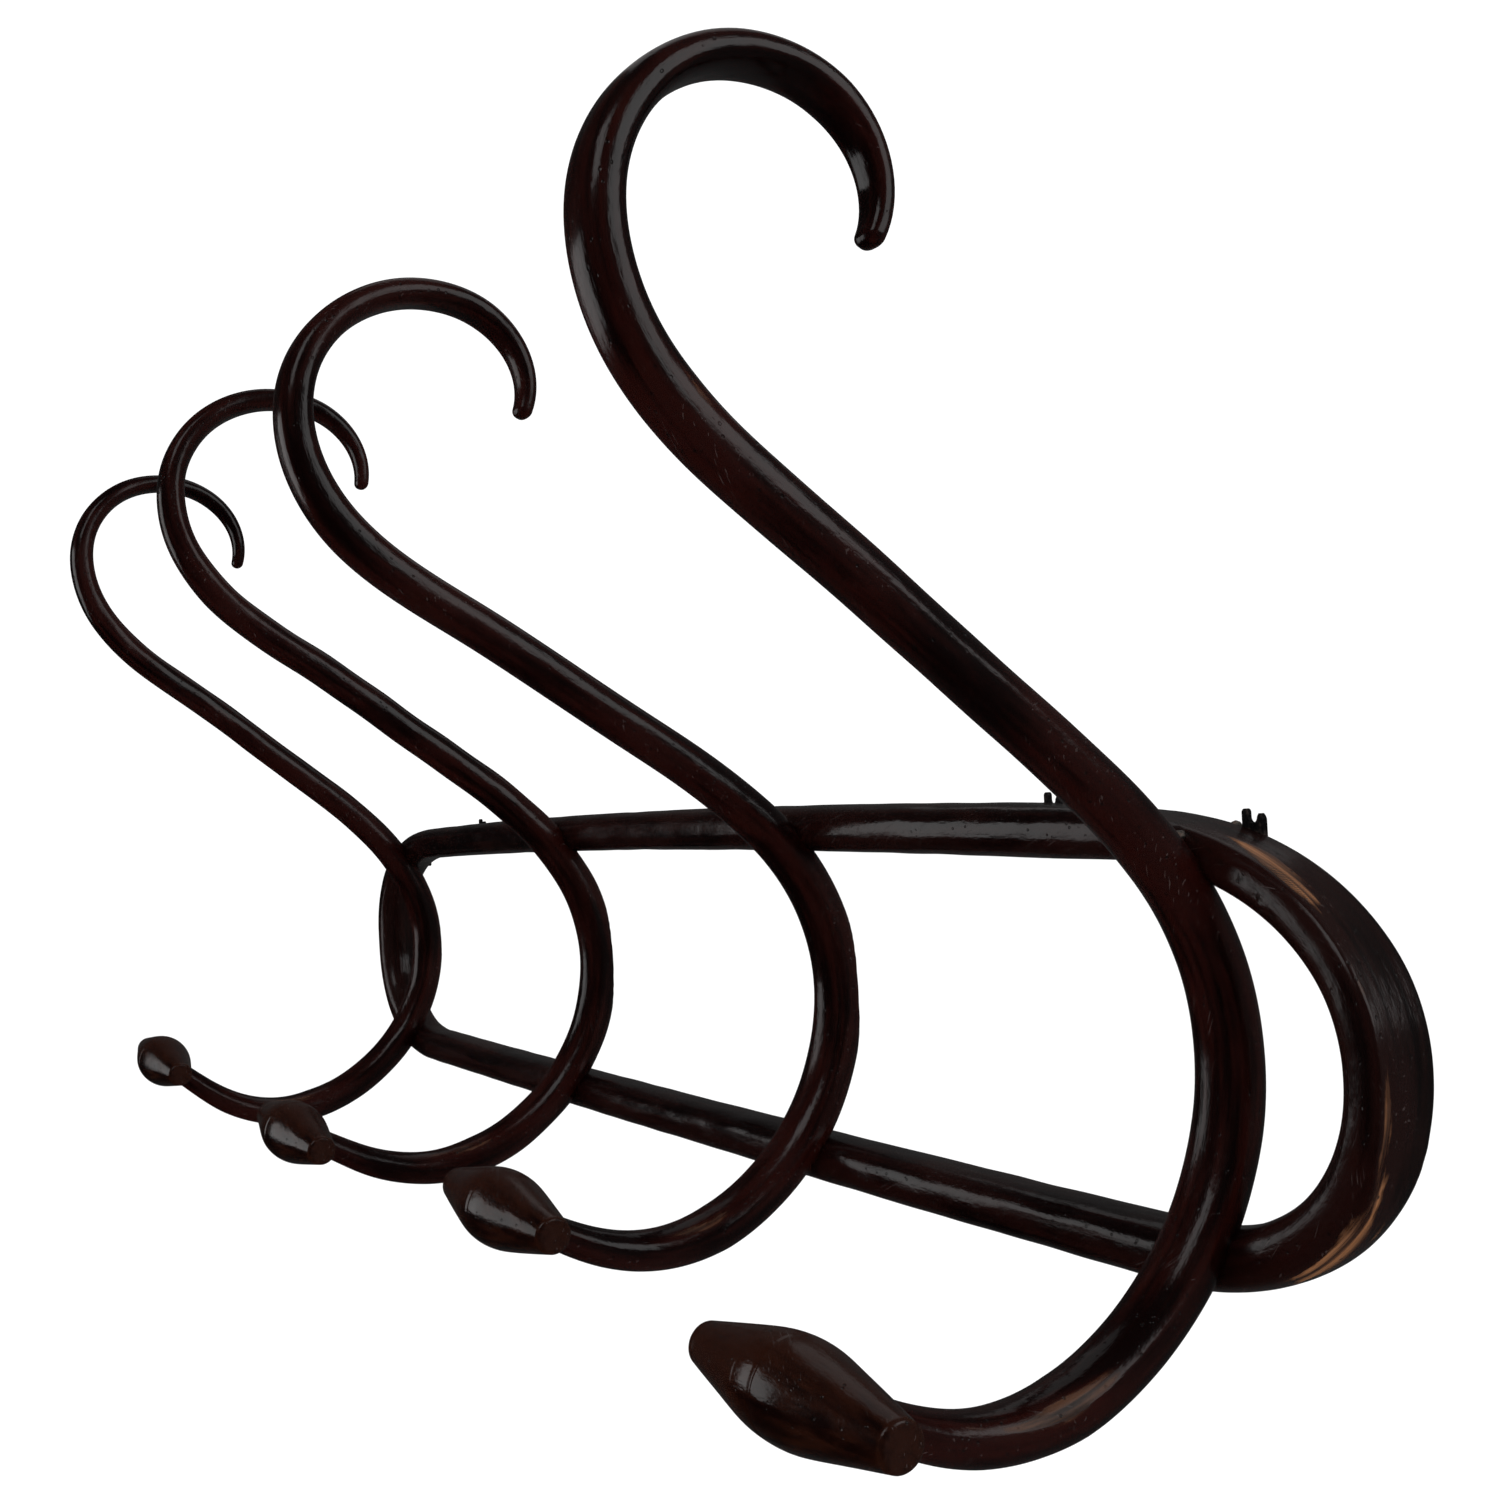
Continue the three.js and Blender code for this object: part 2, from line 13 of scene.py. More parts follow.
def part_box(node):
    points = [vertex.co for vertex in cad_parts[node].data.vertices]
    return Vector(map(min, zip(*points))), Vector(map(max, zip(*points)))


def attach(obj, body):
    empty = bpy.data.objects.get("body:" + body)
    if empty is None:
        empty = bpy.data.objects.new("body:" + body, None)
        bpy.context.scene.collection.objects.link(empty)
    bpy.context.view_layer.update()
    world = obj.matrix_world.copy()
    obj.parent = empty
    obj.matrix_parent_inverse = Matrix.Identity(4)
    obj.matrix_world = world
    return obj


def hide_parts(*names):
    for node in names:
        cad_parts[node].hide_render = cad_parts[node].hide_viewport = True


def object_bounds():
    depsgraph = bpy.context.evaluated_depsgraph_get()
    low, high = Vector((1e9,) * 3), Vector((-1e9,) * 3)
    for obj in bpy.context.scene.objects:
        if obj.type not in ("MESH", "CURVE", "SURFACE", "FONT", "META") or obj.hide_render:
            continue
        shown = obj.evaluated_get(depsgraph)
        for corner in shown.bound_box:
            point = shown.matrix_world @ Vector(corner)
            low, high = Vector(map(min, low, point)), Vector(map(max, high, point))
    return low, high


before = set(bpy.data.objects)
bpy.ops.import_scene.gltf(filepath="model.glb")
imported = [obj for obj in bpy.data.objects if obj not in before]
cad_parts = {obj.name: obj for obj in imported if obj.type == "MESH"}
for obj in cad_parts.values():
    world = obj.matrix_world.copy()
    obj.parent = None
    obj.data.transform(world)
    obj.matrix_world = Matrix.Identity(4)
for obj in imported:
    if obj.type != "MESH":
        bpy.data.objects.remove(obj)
CAD_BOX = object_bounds()
MM = 0.001

# ---------------------------------------------------------------- driving dimensions, in millimetres

# Ring: one bent rod, its centre line in a plane parallel to the wall.
RING_HALF_LENGTH = 533
RING_HALF_HEIGHT = 80.5
RING_END_REACH = {"top": 124, "bottom": 104}
RING_END_SQUARENESS = {"right": 2.13, "left": 2.4}
RAIL_ARCH = {"top": 0.12, "bottom": 0.04}
RING_HALF_THICK = 12
RING_HALF_DEPTH = 15.5
RING_SQUARENESS = 2.6
RING_BACK_PLANED = 0.9
RING_END_STATIONS = 220
RING_RAIL_STATIONS = 420
RING_SIDES = 56
RING_LENGTHS = 9  # CAD nodes that the one ring stands for
RING_Y = RING_BACK_PLANED - RING_HALF_DEPTH

# Hooks: bend in degrees per centimetre at even steps from the top tip to the knob end.
HOOK_LENGTH = 881
HOOK_BEND = [16.1, 8.6, 9.8, 5, -1, 0.5, -2.1, -5.3, -4.7, -4.3, -6.8, 1]
HOOK_TIP_HEADING = 76
SECTION_AT = [0, 0.06, 0.14, 0.28, 0.43, 0.57, 0.71, 0.86, 1]
HOOK_HALF_THICK = [4.2, 5.6, 6.8, 9.6, 10.4, 11.4, 11.8, 11.9, 6.6]
HOOK_HALF_WIDTH = [6.6, 10.5, 13.2, 12, 11.4, 12.6, 14.2, 13.2, 7]
HOOK_STEPS = 320
HOOK_SIDES = 52
HOOK_WALL_GAP = 0.3
TIP_STEPS = 9
TIP_ROUNDED = 0.97  # share of a quarter turn that the rounded tip closes through
HOOK_SQUARENESS = 2.15
TIP_SQUARER = 0.45  # how much squarer the section is towards the tip
TIP_SQUARER_TO = (0.25, 0.5)  # shares of the length between which that eases off
HOOK_UNEVEN = 0.014
ADJUST_AT = [0, 0.13, 0.27, 0.42, 0.6, 0.8, 1]
HOOKS = [
    {"turn": -14.6, "yaw": 1, "longer": -24, "knob_tilt": -0.6,
     "adjust": [1.22, 1.02, 1.04, 0.45, 1.07, 1.01, 0.93]},
    {"turn": -7.6, "yaw": 0.1, "longer": -16, "knob_tilt": -1.5,
     "adjust": [1.18, 0.92, 1.19, 0.64, 1.01, 1.03, 1.01]},
    {"turn": 4.3, "yaw": -5.1, "longer": 10, "knob_tilt": -3,
     "adjust": [0.97, 0.95, 0.99, 1.12, 0.94, 0.99, 0.89]},
    {"turn": -2.1, "yaw": -0.4, "longer": 42, "knob_tilt": -4,
     "adjust": [0.87, 1.01, 0.94, 0.98, 0.97, 0.96, 1]},
]

# Knobs: turned spindles along X.
KNOB_HALF_LENGTH = 61
KNOB_RADIUS = 18.5
KNOB_END_RADIUS = 8.5
KNOB_SIDES = 96
KNOB_STATIONS = 150
KNOB_CAP_STATIONS = 8
KNOB_RIM = 1.1  # chamfer round each flat end
KNOB_DISH = 0.15  # how far the middle of each flat end is sunk
KNOB_PIP = 0.02  # radius of the small face that closes each end
KNOB_APEX = 1.9  # the two cones would meet this far past the knob's radius
KNOB_ROUND = 0.8  # how softly they are rounded there
KNOB_ROUND_LOSS = 0.1  # what that rounding takes off the crest
KNOB_UNEVEN = 0.006
KNOB_LINES = [  # lines turned round the knob
    {"at": 0, "depth": 0.5, "width": 0.55},
    {"at": -55.5, "depth": 0.35, "width": 0.5},
    {"at": -13, "depth": 0.16, "width": 0.5},
]
RIM_WEAR = {"in": 1.2, "half": 0.7, "amount": 0.4}
CREST_WEAR = {"half": 7, "amount": 0.25}
KNOB_PATCH = {"at": -24, "reach": 22, "angle": -60, "spread": 45, "amount": 0.45}
KNOB_FAR = (-4, 14)  # from here to here past the middle, towards -X, the knob gets redder

# ---------------------------------------------------------------- meshes


def superellipse(angle, a, b, power):
    """Points of a superellipse with half-axes a and b."""
    grow = lambda v: np.sign(v) * np.abs(v) ** (2 / power)
    return a * grow(np.cos(angle)), b * grow(np.sin(angle))


def wobble(along, around, seed, waves=7):
    """A slow, even unevenness between about -1 and 1, over a length in metres and an angle."""
    random = np.random.default_rng(seed)
    total = np.zeros(np.broadcast(along, around).shape)
    for _ in range(waves):
        per_metre, turns = random.uniform(4, 26), random.integers(0, 4)
        phase = random.uniform(0, 2 * math.pi, 2)
        total += np.sin(2 * math.pi * per_metre * along + phase[0]) * np.cos(turns * around + phase[1])
    return total / math.sqrt(waves)


def rod_mesh(name, points, along, across, deep, marks, loop=False):
    """Closed skin over rings of points, an array [stations, sides, 3].

    The "rod" attribute holds where each point lay before the rod was bent, so that the grain
    follows the bend. marks are more attributes, each one number a point.
    """
    stations, sides = points.shape[:2]
    straight = np.stack([np.broadcast_to(along[:, None], across.shape), across, deep], axis=-1)
    vertices, rod = points.reshape(-1, 3), straight.reshape(-1, 3)
    marks = {key: np.asarray(value).reshape(-1) for key, value in marks.items()}
    last = stations if loop else stations - 1
    i, j = np.meshgrid(np.arange(last), np.arange(sides), indexing="ij")
    after, beside = (i + 1) % stations, (j + 1) % sides
    quads = np.stack([i * sides + j, i * sides + beside, after * sides + beside, after * sides + j], axis=-1)
    faces = quads.reshape(-1, 4).tolist()
    if not loop:
        faces.append(list(range(sides))[::-1])
        faces.append([(stations - 1) * sides + k for k in range(sides)])
    mesh = bpy.data.meshes.new(name)
    mesh.from_pydata(vertices.tolist(), [], faces)
    mesh.polygons.foreach_set("use_smooth", [len(face) == 4 for face in faces])
    mesh.attributes.new("rod", "FLOAT_VECTOR", "POINT").data.foreach_set("vector", rod.ravel())
    for key, value in marks.items():
        mesh.attributes.new(key, "FLOAT", "POINT").data.foreach_set("value", value)
    mesh.update()
    return outward(mesh)


def outward(mesh):
    """Turns a closed mesh's faces out if they point in."""
    mesh.calc_loop_triangles()
    corners = np.array([t.vertices for t in mesh.loop_triangles])
    places = np.array([v.co for v in mesh.vertices])[corners]
    volume = np.einsum("ij,ij->i", places[:, 0], np.cross(places[:, 1], places[:, 2])).sum()
    if volume < 0:
        mesh.flip_normals()
    return mesh


def place(name, mesh, material, slot, *nodes):
    """Links a finished piece, riding on the rack and standing for its CAD nodes."""
    piece = bpy.data.objects.new(name, mesh)
    bpy.context.scene.collection.objects.link(piece)
    piece.data.materials.append(material)
    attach(piece, "root")
    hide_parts(*nodes)
    return piece


def middle_of(*nodes):
    """Middle of the box round some CAD nodes."""
    boxes = [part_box(node) for node in nodes]
    low = Vector([min(box[0][k] for box in boxes) for k in range(3)])
    high = Vector([max(box[1][k] for box in boxes) for k in range(3)])
    return np.array((low + high) / 2)


def centred(points, target):
    """The points moved so that the middle of their box is at target."""
    flat = points.reshape(-1, 3)
    return points + target - (flat.min(0) + flat.max(0)) / 2


def patch(distance, reach, angle, centre, spread):
    """A soft patch on a rod: reach is half its length in the unit of distance, spread half its angle."""
    off = (np.degrees(angle) - centre + 180) % 360 - 180
    return np.exp(-((distance / reach) ** 2))[:, None] * np.exp(-((off / spread) ** 2))[None, :]


def fade(value, start, end):
    """Smooth rise from 0 at start to 1 at end."""
    share = np.clip((value - start) / (end - start), 0, 1)
    return share * share * (3 - 2 * share)


# ---------------------------------------------------------------- ring

# Places on the ring are X and Z from its middle; angles are 0 outward, -90 to the front, 90 to the wall.
RING_PATCHES = [  # at, reach, angle, spread, amount: lacquer rubbed through to the wood
    {"at": (492, 62), "reach": 20, "angle": -28, "spread": 24, "amount": 1.15},
    {"at": (478, 72), "reach": 13, "angle": -12, "spread": 9, "amount": 0.8},
    {"at": (507, -54), "reach": 26, "angle": -24, "spread": 22, "amount": 1.15},
    {"at": (526, -14), "reach": 20, "angle": -34, "spread": 11, "amount": 0.85},
    {"at": (521, 22), "reach": 15, "angle": -48, "spread": 6, "amount": 0.5},
    {"at": (-527, -10), "reach": 30, "angle": -30, "spread": 10, "amount": 0.6},
]
TOOL_MARKS = {"at": (494, 61), "reach": 11, "angle": -34, "spread": 12}
RING_FLAT = {"from": (446, 82), "to": (533, -18), "outer": 4, "inner": 1.8}  # depths planed off the right end
RING_FLAT_EASE = 4  # degrees round the ring's middle over which that flat runs out
FLAT_CROWN = {"outer": 0.04, "inner": 0.3}  # share of the rod's round that is left on the planed sides
FLAT_EDGE = 0.6  # millimetres over which the planed flat's edge shows
RING_UNEVEN = 0.012
SCARF = {"at": (484, 66), "slope": 0.2, "half": 0.35}
RING_NODES = [f"ring_{i + 1}" for i in range(RING_LENGTHS)]
RING_MIDDLE = middle_of(*RING_NODES)


def rail_line(x, side):
    """Height of a rail's centre line over the ring's middle; side is 1 for the top, -1 for the bottom."""
    share = np.where(side > 0, RAIL_ARCH["top"], RAIL_ARCH["bottom"])
    return side * RING_HALF_HEIGHT * (1 + share * (1 - (x / RING_HALF_LENGTH) ** 2))


def ring_line():
    """Centre line of the oval from the left of the bottom rail, anticlockwise, evenly spaced X and Z."""
    parts = []
    for side in (1, -1):
        reach = RING_END_REACH["bottom" if side > 0 else "top"]
        rail = RING_HALF_LENGTH - reach
        x = np.linspace(-rail, rail, RING_RAIL_STATIONS, endpoint=False)
        parts.append(np.stack([side * x, np.full_like(x, -side * RING_HALF_HEIGHT)], axis=1))
        angle = np.radians(np.linspace(-90, 90, RING_END_STATIONS, endpoint=False))
        reach = np.where(side * angle > 0, RING_END_REACH["top"], RING_END_REACH["bottom"])
        power = RING_END_SQUARENESS["right" if side > 0 else "left"]
        x, z = superellipse(angle, reach, RING_HALF_HEIGHT, power)
        parts.append(np.stack([side * (RING_HALF_LENGTH - reach + x), side * z], axis=1))
    line = np.concatenate(parts)
    line[:, 1] = np.abs(line[:, 1]) / RING_HALF_HEIGHT * rail_line(line[:, 0], np.sign(line[:, 1]))
    return evenly(np.concatenate([line, line[:1]]), 2 * (RING_RAIL_STATIONS + RING_END_STATIONS))


def evenly(line, count):
    """Points evenly spaced along a closed line whose last point repeats its first."""
    steps = np.hypot(*np.diff(line, axis=0).T)
    travelled = np.concatenate([[0], np.cumsum(steps)])
    wanted = np.linspace(0, travelled[-1], count, endpoint=False)
    return np.stack([np.interp(wanted, travelled, line[:, k]) for k in (0, 1)], axis=1)


def ring_distance(line, at):
    """How far each point of the ring's line is from a place on it."""
    return np.hypot(line[:, 0] - at[0], line[:, 1] - at[1])


def build_ring(material):
    """The oval ring, one bent rod planed flatter at its right end, with its wear and its scarf joint."""
    line = ring_line()
    before, after = np.roll(line, 1, axis=0), np.roll(line, -1, axis=0)
    run = after - before
    step = np.hypot(*(line - before).T)
    along = (np.cumsum(step) - step[0]) * MM
    out = np.stack([run[:, 1], -run[:, 0]], axis=1) / np.hypot(*run.T)[:, None]
    angle = np.linspace(0, 2 * math.pi, RING_SIDES, endpoint=False)
    across, deep = superellipse(angle, RING_HALF_THICK, RING_HALF_DEPTH, RING_SQUARENESS)
    uneven = 1 + RING_UNEVEN * wobble(along[:, None], angle[None, :], seed=3)
    across, deep = across[None, :] * uneven, deep[None, :] * uneven

    turn = np.degrees(np.arctan2(line[:, 1], line[:, 0]))
    high, low = (math.degrees(math.atan2(z, x)) for x, z in (RING_FLAT["from"], RING_FLAT["to"]))
    planed = fade(turn, low - RING_FLAT_EASE, low) * (1 - fade(turn, high, high + RING_FLAT_EASE))
    face = RING_HALF_THICK - RING_FLAT["outer"] * planed[:, None]
    inner = RING_HALF_THICK - RING_FLAT["inner"] * planed[:, None]
    flat = np.clip((across - face) / FLAT_EDGE, 0, 1) * planed[:, None]
    across = np.minimum(across, face + FLAT_CROWN["outer"] * (across - face))
    across = np.maximum(across, -inner + FLAT_CROWN["inner"] * (across + inner))
    deep = np.minimum(deep, -RING_Y)

    marks = {"wear": sum(
        p["amount"] * patch(ring_distance(line, p["at"]), p["reach"], angle, p["angle"], p["spread"])
        for p in RING_PATCHES
    )}
    marks["flat"] = flat
    marks["tool"] = patch(ring_distance(line, TOOL_MARKS["at"]), TOOL_MARKS["reach"], angle,
                          TOOL_MARKS["angle"], TOOL_MARKS["spread"])
    scarf = np.argmin(ring_distance(line, SCARF["at"]))
    off = (along - along[scarf])[:, None] / MM * SCARF["slope"] - across
    marks["seam"] = np.exp(-((off / SCARF["half"]) ** 2))

    x = line[:, :1] + out[:, :1] * across
    z = line[:, 1:] + out[:, 1:] * across
    points = centred(np.stack([x, RING_Y + deep, z], axis=-1) * MM, RING_MIDDLE)
    mesh = rod_mesh("ring", points, along, across * MM, deep * MM, marks, loop=True)
    return place("ring", mesh, material, "ring_wood", *RING_NODES)


# ---------------------------------------------------------------- hooks

# Places on a hook are shares of its length; angles are 0 to the right, -90 inside the lower bend.
HOOK_PATCHES = [
    [{"at": 0.868, "reach": 0.03, "angle": -28, "spread": 21, "amount": 1.15},
     {"at": 0.285, "reach": 0.02, "angle": 20, "spread": 16, "amount": 0.45},
     {"at": 0.93, "reach": 0.03, "angle": -35, "spread": 12, "amount": 0.4}],
    [{"at": 0.88, "reach": 0.03, "angle": -40, "spread": 16, "amount": 0.75},
     {"at": 0.1, "reach": 0.03, "angle": 80, "spread": 25, "amount": 0.4}],
    [{"at": 0.87, "reach": 0.03, "angle": -50, "spread": 18, "amount": 0.7}],
    [{"at": 0.88, "reach": 0.03, "angle": -45, "spread": 18, "amount": 0.7}],
]


def hook_line(hook):
    """Share of the length, Y, Z and heading along a hook's centre line, its tip at the origin."""
    share = np.linspace(0, 1, HOOK_STEPS + 1)
    step = (HOOK_LENGTH + hook["longer"]) / HOOK_STEPS
    even = np.linspace(0, 1, len(HOOK_BEND))
    bend = np.radians(np.interp(share, even, HOOK_BEND) * np.interp(share, ADJUST_AT, hook["adjust"]) / 10)
    heading = np.radians(HOOK_TIP_HEADING + hook["turn"]) + np.concatenate([[0], np.cumsum(bend[:-1] * step)])
    middle = heading[:-1] + bend[:-1] * step / 2
    y = np.concatenate([[0], np.cumsum(np.cos(middle) * step)])
    z = np.concatenate([[0], np.cumsum(np.sin(middle) * step)])
    return share, y, z, heading


def rounded_tip(share, y, z, heading, thick):
    """More stations before the first one, and the factor that shrinks each one's section."""
    angle = np.linspace(math.pi / 2, 0, TIP_STEPS, endpoint=False) * TIP_ROUNDED
    ahead = -thick[0] * np.sin(angle)
    factor = np.concatenate([np.cos(angle), np.ones(len(share))])
    share = np.concatenate([np.zeros(TIP_STEPS), share])
    y = np.concatenate([y[0] + math.cos(heading[0]) * ahead, y])
    z = np.concatenate([z[0] + math.sin(heading[0]) * ahead, z])
    heading = np.concatenate([np.full(TIP_STEPS, heading[0]), heading])
    return share, y, z, heading, factor


def build_hook(number, hook, material):
    """One S-shaped hook, a bent rod that narrows to a rounded tip and, at its other end, to the knob."""
    share, y, z, heading = hook_line(hook)
    thick = np.interp(share, SECTION_AT, HOOK_HALF_THICK)
    share, y, z, heading, factor = rounded_tip(share, y, z, heading, thick)
    thick = np.interp(share, SECTION_AT, HOOK_HALF_THICK) * factor
    wide = np.interp(share, SECTION_AT, HOOK_HALF_WIDTH) * factor
    along = share * (HOOK_LENGTH + hook["longer"]) * MM
    angle = np.linspace(0, 2 * math.pi, HOOK_SIDES, endpoint=False)
    squareness = HOOK_SQUARENESS + TIP_SQUARER * (1 - fade(share, *TIP_SQUARER_TO))
    across, deep = superellipse(angle[None, :], wide[:, None], thick[:, None], squareness[:, None])
    uneven = 1 + HOOK_UNEVEN * wobble(along[:, None], angle[None, :], seed=10 + number)
    across, deep = across * uneven, deep * uneven

    out_y = y[:, None] - np.sin(heading)[:, None] * deep
    out_z = z[:, None] + np.cos(heading)[:, None] * deep
    yaw = math.radians(hook["yaw"])
    x = across * math.cos(yaw) - out_y * math.sin(yaw)
    points = np.stack([x, across * math.sin(yaw) + out_y * math.cos(yaw), out_z], axis=-1) * MM
    points = level_with(points, f"hook_{number}")
    points[..., 1] = np.minimum(points[..., 1], -HOOK_WALL_GAP * MM)

    wear = sum(p["amount"] * patch(share - p["at"], p["reach"], angle, p["angle"], p["spread"])
               for p in HOOK_PATCHES[number - 1])
    mesh = rod_mesh(f"hook_{number}", points, along, across * MM, deep * MM, {"wear": wear})
    return place(f"bent_hook_{number}", mesh, material, "hook_wood", f"hook_{number}")


def level_with(points, node):
    """The points moved to the front, the top and the middle of the width of a CAD node's box."""
    low, high = (np.array(corner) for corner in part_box(node))
    flat = points.reshape(-1, 3)
    mine_low, mine_high = flat.min(0), flat.max(0)
    move = np.array([
        (low[0] + high[0] - mine_low[0] - mine_high[0]) / 2,
        low[1] - mine_low[1],
        high[2] - mine_high[2],
    ])
    return points + move


# ---------------------------------------------------------------- knobs


def knob_profile():
    """Radius and height along a knob's axis, from one flat end to the other."""
    half, rim = KNOB_HALF_LENGTH, KNOB_RIM
    height = np.linspace(-half + rim, half - rim, KNOB_STATIONS)
    apex = KNOB_RADIUS + KNOB_APEX
    cone = apex - (apex - KNOB_END_RADIUS) * np.abs(height) / (half - rim)
    ceiling = KNOB_RADIUS + KNOB_ROUND_LOSS
    radius = -np.log(np.exp(-cone / KNOB_ROUND) + math.exp(-ceiling / KNOB_ROUND)) * KNOB_ROUND
    for line in KNOB_LINES:
        radius = radius - line["depth"] * np.exp(-(((height - line["at"]) / line["width"]) ** 2))
    cap = np.linspace(0, 1, KNOB_CAP_STATIONS)[:, None]
    centre, edge = np.array([[KNOB_PIP, -half + KNOB_DISH]]), np.array([[KNOB_END_RADIUS - rim, -half]])
    first = centre * (1 - cap) + edge * cap
    last = first[::-1] * [1, -1]
    return np.concatenate([first, np.stack([radius, height], axis=1), last])


def build_knob(number, hook, material):
    """One turned knob, two cones rounded together, worn along its rims, its crest and one side."""
    profile = knob_profile()
    angle = np.linspace(0, 2 * math.pi, KNOB_SIDES, endpoint=False)
    radius, height = profile[:, :1], profile[:, 1]
    worn = 1 + KNOB_UNEVEN * wobble(height[:, None] * MM, angle[None, :], seed=30 + number)
    across, deep = radius * np.cos(angle) * worn, radius * np.sin(angle) * worn
    tilt = math.radians(hook["knob_tilt"])
    x = height[:, None] * math.cos(tilt) - deep * math.sin(tilt)
    z = height[:, None] * math.sin(tilt) + deep * math.cos(tilt)
    points = centred(np.stack([x, across, z], axis=-1) * MM, middle_of(f"knob_{number}"))
    rims = np.exp(-(((np.abs(height) - KNOB_HALF_LENGTH + RIM_WEAR["in"]) / RIM_WEAR["half"]) ** 2))
    crest = CREST_WEAR["amount"] * np.exp(-((height / CREST_WEAR["half"]) ** 2))
    wear = np.broadcast_to((RIM_WEAR["amount"] * rims + crest)[:, None], across.shape).copy()
    p = KNOB_PATCH
    wear += p["amount"] * patch(height - p["at"], p["reach"], angle, p["angle"], p["spread"])
    marks = {"wear": wear, "far": np.broadcast_to(fade(-height, *KNOB_FAR)[:, None], across.shape)}
    mesh = rod_mesh(f"knob_{number}", points, height * MM, across * MM, deep * MM, marks)
    return place(f"turned_knob_{number}", mesh, material, "knob_wood", f"knob_{number}")


# ---------------------------------------------------------------- materials


def add(tree, kind, inputs=None, **settings):
    """A shader node, its inputs set to numbers or linked to sockets."""
    node = tree.nodes.new("ShaderNode" + kind)
    for key, value in settings.items():
        setattr(node, key, value)
    for key, value in (inputs or {}).items():
        if isinstance(value, bpy.types.NodeSocket):
            tree.links.new(value, node.inputs[key])
        else:
            node.inputs[key].default_value = value
    return node


def new_material(name):
    """A material holding one Principled shader, with its tree and that shader."""
    material = bpy.data.materials.new(name)
    material.use_nodes = True
    tree = material.node_tree
    return material, tree, tree.nodes["Principled BSDF"]


def scaled(tree, vector, scale):
    return add(tree, "VectorMath", {0: vector, 1: scale}, operation="MULTIPLY").outputs[0]


def turned(tree, vector, degrees):
    """The vector turned about its first two axes, so that marks can run across the grain."""
    angles = (0, 0, math.radians(degrees))
    return add(tree, "Mapping", {"Vector": vector, "Rotation": angles}).outputs[0]


def noise(tree, vector, detail=3.0, roughness=0.55):
    inputs = {"Vector": vector, "Scale": 1.0, "Detail": detail, "Roughness": roughness}
    return add(tree, "TexNoise", inputs).outputs[0]


def step_up(tree, value, start, end):
    """0 below start and 1 above end, smooth between them; start may be the larger."""
    inputs = {"Value": value, "From Min": start, "From Max": end}
    return add(tree, "MapRange", inputs, interpolation_type="SMOOTHSTEP").outputs[0]


def calc(tree, operation, a, b):
    return add(tree, "Math", {0: a, 1: b}, operation=operation).outputs[0]


def times(tree, a, b):
    return calc(tree, "MULTIPLY", a, b)


def mixed(tree, share, a, b):
    """Colour a at share 0 and b at share 1."""
    return add(tree, "Mix", {0: share, 6: a, 7: b}, data_type="RGBA").outputs[2]


def mark(tree, name):
    """A number that the mesh carries at each point."""
    return add(tree, "Attribute", attribute_name=name).outputs["Fac"]


def total(tree, *terms):
    """Sum of (value, weight) pairs."""
    result = 0.0
    for value, weight in terms:
        result = add(tree, "Math", {0: value, 1: weight, 2: result}, operation="MULTIPLY_ADD").outputs[0]
    return result


NOISES = {  # repeats in a metre along, across and through the rod, then detail and roughness
    "grain": ((11, 330, 330), 5, 0.55),
    "fibre": ((70, 2100, 2100), 2, 0.55),
    "cloud": ((9, 38, 38), 5, 0.6),
    "swell": ((18, 46, 46), 1, 0.55),
    "ripple": ((75, 190, 190), 3, 0.55),
    "speckle": ((420, 900, 900), 4, 0.7),
}
PIT_REPEATS = (210, 260, 260)
SCRATCH_REPEATS = (30, 1500, 500)
SCRATCH_TURN = 24  # degrees between the scratches and the grain
TOOTH_REPEATS = (330, 40, 40)
TOOTH_RAGGED = 2.5
ROUGHNESS = {"cloud": 0.34, "speckle": 0.14, "ripple": 0.12, "worn": 0.24, "flat": 0.06}  # added by each
ROUGHNESS_START = -0.135
RELIEF = {  # millimetres that each pattern raises the surface
    "swell": 0.85, "ripple": 0.34, "grain": 0.16, "fibre": 0.006, "speckle": 0.01, "pits": -0.2,
    "scratches": -0.04, "worn": -0.12, "seam": -0.25, "toothed": 0.2,
}
STAINS = {  # how strongly each pattern tints the finish, and with what
    "scratches": (0.6, (0.05, 0.038, 0.036, 1)),  # fine scratches that have filled with dust
    "pits": (0.8, (0.0012, 0.0008, 0.0008, 1)),
    "seam": (0.8, (0.003, 0.0015, 0.001, 1)),
}


